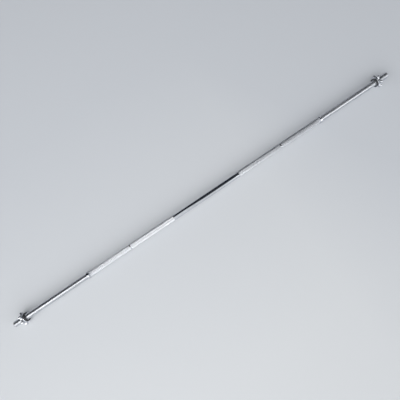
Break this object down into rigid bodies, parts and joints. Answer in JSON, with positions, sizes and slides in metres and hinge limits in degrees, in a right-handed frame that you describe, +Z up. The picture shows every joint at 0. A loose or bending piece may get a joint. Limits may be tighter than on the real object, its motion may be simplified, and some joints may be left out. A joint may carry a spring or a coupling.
{
  "type": "spin-lock barbell",
  "caption": "Straight steel weight bar with knurled grips, pinned inner collars, screw-threaded sleeves and lobed star collars that clamp plates through rubber rings.",
  "frame": {"origin": "on the shaft's axis, half way between its two ends", "axes": "+X along the shaft, +Y level across it, +Z up with each star collar standing on two lobes"},
  "size_m": [2.2, 0.068, 0.061],
  "materials": {
    "shaft_chrome": "bright plating over rolled knurling and thread",
    "collar_chrome": "bright turned ring",
    "star_chrome": "bright plated casting",
    "ring_rubber": "matt moulded rubber",
    "pin_steel": "dull spring steel"
  },
  "bodies": {
    "bar": {"bar_shaft": "shaft_chrome", "left_inner_collar": "collar_chrome", "right_inner_collar": "collar_chrome", "collar_pins": "pin_steel"},
    "left_ring": {"left_rubber_ring": "ring_rubber"},
    "left_star": {"left_star_collar": "star_chrome"},
    "right_ring": {"right_rubber_ring": "ring_rubber"},
    "right_star": {"right_star_collar": "star_chrome"}
  },
  "joints": [
    {"name": "left_star_travel", "type": "slide", "parent": "bar", "child": "left_ring", "axis": [1, 0, 0], "range_m": [-0.0701, 0.3421]},
    {"name": "left_star_spin", "type": "hinge", "parent": "left_ring", "child": "left_star", "pos_m": [-1.05, 0, 0], "axis": [1, 0, 0], "range_deg": [-6300, 30780]},
    {"name": "right_star_travel", "type": "slide", "parent": "bar", "child": "right_ring", "axis": [1, 0, 0], "range_m": [-0.3301, 0.0821]},
    {"name": "right_star_spin", "type": "hinge", "parent": "right_ring", "child": "right_star", "pos_m": [1.038, 0, 0], "axis": [1, 0, 0], "range_deg": [-29700, 7380]}
  ],
  "couplings": [
    {"joint": "left_star_travel", "follows": "left_star_spin", "m_per_rad": 0.00063662},
    {"joint": "right_star_travel", "follows": "right_star_spin", "m_per_rad": 0.00063662}
  ]
}
